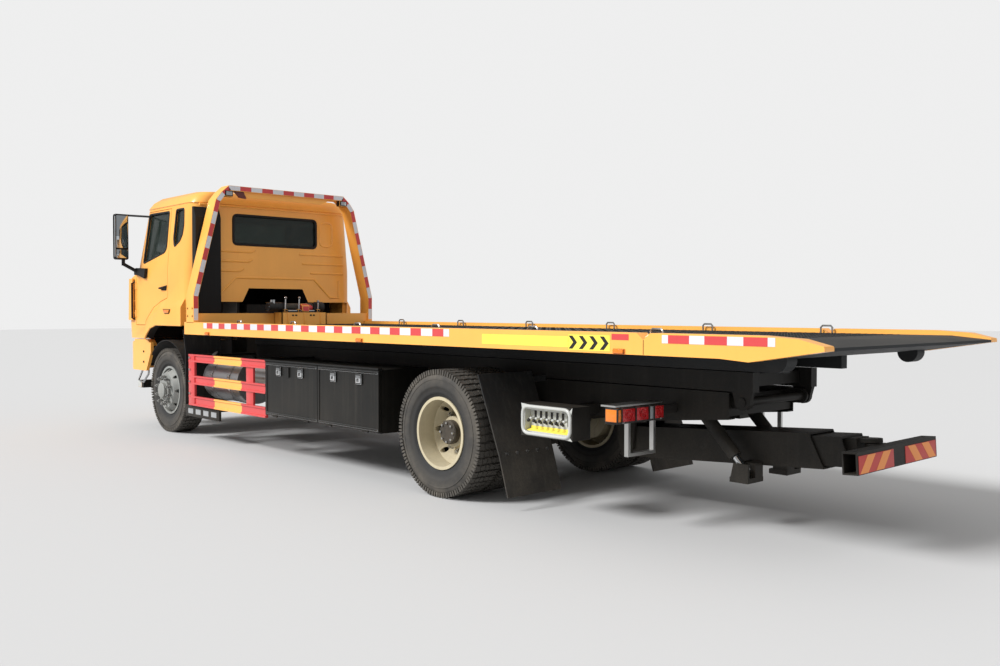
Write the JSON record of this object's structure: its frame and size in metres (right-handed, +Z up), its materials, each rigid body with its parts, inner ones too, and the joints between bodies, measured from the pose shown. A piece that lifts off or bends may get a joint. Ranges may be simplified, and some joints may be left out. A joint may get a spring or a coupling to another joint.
{
  "type": "flatbed tow truck",
  "caption": "Cab-over flatbed tow truck with a sliding, tilting bed, front hoop and winch, and a telescopic rear wheel lift with crossbar.",
  "frame": {"origin": "on the ground under the middle of the truck's length and width", "axes": "+X forward, +Y to the truck's left, +Z up"},
  "size_m": [10.1787, 2.9, 3.01],
  "materials": {
    "body_paint": "gloss",
    "black_paint": "satin",
    "guard_paint": "gloss",
    "wheel_paint": "satin",
    "front_wheel_paint": "satin",
    "tyre_rubber": "matt",
    "flap_rubber": "matt",
    "tank_metal": "brushed",
    "cast_metal": "matt",
    "rod_chrome": "polished",
    "lamp_lens": "gloss",
    "head_lens": "gloss",
    "panel_paint": "gloss",
    "cab_glass": "clear",
    "trim_plastic": "matt",
    "seat_cloth": "woven",
    "winch_metal": "matt",
    "rope_steel": "worn"
  },
  "bodies": {
    "chassis": {"chassis_frame": "black_paint", "front_axle": "cast_metal", "rear_axle": "cast_metal", "leaf_springs": "cast_metal", "engine_block": "cast_metal", "exhaust_box": "tank_metal", "tanks": "tank_metal", "side_guards": "guard_paint", "tool_boxes": "black_paint", "mudguards": "flap_rubber", "front_bumper": "body_paint", "headlamps": "head_lens", "tail_lamps": "lamp_lens", "lever_panels": "panel_paint"},
    "cab": {"cab_shell": "body_paint", "cab_glass": "cab_glass", "cab_grille": "trim_plastic", "sun_visor": "trim_plastic", "intake_duct": "trim_plastic", "cab_seats": "seat_cloth", "dashboard": "trim_plastic"},
    "door_left": {"door_left": "body_paint", "door_glass_left": "cab_glass", "mirror_left": "trim_plastic"},
    "door_right": {"door_right": "body_paint", "door_glass_right": "cab_glass", "mirror_right": "trim_plastic"},
    "steer_left": {"knuckle_left": "cast_metal"},
    "steer_right": {"knuckle_right": "cast_metal"},
    "wheel_front_left": {"front_rim_left": "front_wheel_paint", "front_tyre_left": "tyre_rubber"},
    "wheel_front_right": {"front_rim_right": "front_wheel_paint", "front_tyre_right": "tyre_rubber"},
    "wheels_rear_left": {"rear_rims_left": "wheel_paint", "rear_tyres_left": "tyre_rubber"},
    "wheels_rear_right": {"rear_rims_right": "wheel_paint", "rear_tyres_right": "tyre_rubber"},
    "tilt_frame": {"tilt_frame": "black_paint", "slide_barrel": "black_paint"},
    "bed": {"bed_deck": "black_paint", "side_rails": "body_paint", "slide_rod": "rod_chrome", "hoop": "body_paint", "winch": "winch_metal"},
    "winch_drum": {"winch_drum": "rope_steel"},
    "tilt_barrels": {"tilt_barrels": "black_paint"},
    "tilt_rods": {"tilt_rods": "rod_chrome"},
    "lift_boom": {"lift_boom": "black_paint"},
    "lift_tube": {"lift_tube": "black_paint"},
    "crossbar": {"crossbar": "black_paint"},
    "lift_barrels": {"lift_barrels": "black_paint"},
    "lift_rods": {"lift_rods": "rod_chrome"},
    "box_door_left_rear": {"box_door_left_rear": "black_paint"},
    "box_door_left_front": {"box_door_left_front": "black_paint"},
    "box_door_right_rear": {"box_door_right_rear": "black_paint"},
    "box_door_right_front": {"box_door_right_front": "black_paint"}
  },
  "joints": [
    {"name": "steer_left", "type": "hinge", "parent": "chassis", "child": "steer_left", "pos_m": [3.81, 0.85, 0.525], "axis": [0, 0, 1], "range_deg": [-35, 35]},
    {"name": "spin_front_left", "type": "hinge", "parent": "steer_left", "child": "wheel_front_left", "pos_m": [3.81, 0.975, 0.525], "axis": [0, 1, 0], "continuous": true},
    {"name": "spin_rear_left", "type": "hinge", "parent": "chassis", "child": "wheels_rear_left", "pos_m": [-1.69, 0.919, 0.525], "axis": [0, 1, 0], "continuous": true},
    {"name": "steer_right", "type": "hinge", "parent": "chassis", "child": "steer_right", "pos_m": [3.81, -0.85, 0.525], "axis": [0, 0, 1], "range_deg": [-35, 35]},
    {"name": "spin_front_right", "type": "hinge", "parent": "steer_right", "child": "wheel_front_right", "pos_m": [3.81, -0.975, 0.525], "axis": [0, 1, 0], "continuous": true},
    {"name": "spin_rear_right", "type": "hinge", "parent": "chassis", "child": "wheels_rear_right", "pos_m": [-1.69, -0.919, 0.525], "axis": [0, 1, 0], "continuous": true},
    {"name": "cab_tilt", "type": "hinge", "parent": "chassis", "child": "cab", "pos_m": [4.93, 0, 0.75], "axis": [0, 1, 0], "range_deg": [0, 45]},
    {"name": "door_left_swing", "type": "hinge", "parent": "cab", "child": "door_left", "pos_m": [4.702, 1.152, 1.7], "axis": [0, 0, -1], "range_deg": [0, 70]},
    {"name": "door_right_swing", "type": "hinge", "parent": "cab", "child": "door_right", "pos_m": [4.702, -1.152, 1.7], "axis": [0, 0, 1], "range_deg": [0, 70]},
    {"name": "bed_tilt", "type": "hinge", "parent": "chassis", "child": "tilt_frame", "pos_m": [-4.04, 0, 0.9], "axis": [0, -1, 0], "range_deg": [0, 16.5]},
    {"name": "bed_slide", "type": "slide", "parent": "tilt_frame", "child": "bed", "axis": [-1, 0, 0], "range_m": [0, 3.3]},
    {"name": "winch_spin", "type": "hinge", "parent": "bed", "child": "winch_drum", "pos_m": [2.705, 0, 1.57], "axis": [0, 1, 0], "continuous": true},
    {"name": "tilt_barrel_swing", "type": "hinge", "parent": "chassis", "child": "tilt_barrels", "pos_m": [-1.29, 0, 0.62], "axis": [0, 1, 0], "range_deg": [0, 14.45]},
    {"name": "tilt_rod_slide", "type": "slide", "parent": "tilt_barrels", "child": "tilt_rods", "axis": [-0.9439, 0, 0.3304], "range_m": [0, 0.2923]},
    {"name": "lift_tilt", "type": "hinge", "parent": "chassis", "child": "lift_boom", "pos_m": [-2.84, 0, 0.485], "axis": [0, 1, 0], "range_deg": [-9.5, 0]},
    {"name": "lift_extend", "type": "slide", "parent": "lift_boom", "child": "lift_tube", "axis": [0.9981, 0, -0.061], "range_m": [-1.1, 0]},
    {"name": "crossbar_swivel", "type": "hinge", "parent": "lift_tube", "child": "crossbar", "pos_m": [-4.77638, 0, 0.60343], "axis": [0.061, 0, 0.9981], "range_deg": [-20, 20]},
    {"name": "lift_barrel_swing", "type": "hinge", "parent": "chassis", "child": "lift_barrels", "pos_m": [-3.57, 0, 0.865], "axis": [0, 1, 0], "range_deg": [-12.02, 0]},
    {"name": "lift_rod_slide", "type": "slide", "parent": "lift_barrels", "child": "lift_rods", "axis": [-0.6864, 0, -0.7272], "range_m": [0, 0.1392]},
    {"name": "box_door_left_rear_drop", "type": "hinge", "parent": "chassis", "child": "box_door_left_rear", "pos_m": [-0.375, 1.22, 0.446], "axis": [-1, 0, 0], "range_deg": [0, 100]},
    {"name": "box_door_left_front_drop", "type": "hinge", "parent": "chassis", "child": "box_door_left_front", "pos_m": [0.635, 1.22, 0.446], "axis": [-1, 0, 0], "range_deg": [0, 100]},
    {"name": "box_door_right_rear_drop", "type": "hinge", "parent": "chassis", "child": "box_door_right_rear", "pos_m": [-0.375, -1.22, 0.446], "axis": [1, 0, 0], "range_deg": [0, 100]},
    {"name": "box_door_right_front_drop", "type": "hinge", "parent": "chassis", "child": "box_door_right_front", "pos_m": [0.635, -1.22, 0.446], "axis": [1, 0, 0], "range_deg": [0, 100]}
  ],
  "couplings": [
    {"joint": "steer_right", "follows": "steer_left", "ratio": 1},
    {"joint": "tilt_barrel_swing", "follows": "bed_tilt", "ratio": 0.84566},
    {"joint": "tilt_rod_slide", "follows": "bed_tilt", "m_per_rad": 0.99761},
    {"joint": "lift_barrel_swing", "follows": "lift_tilt", "ratio": 1.2121},
    {"joint": "lift_rod_slide", "follows": "lift_tilt", "m_per_rad": -0.80946}
  ]
}
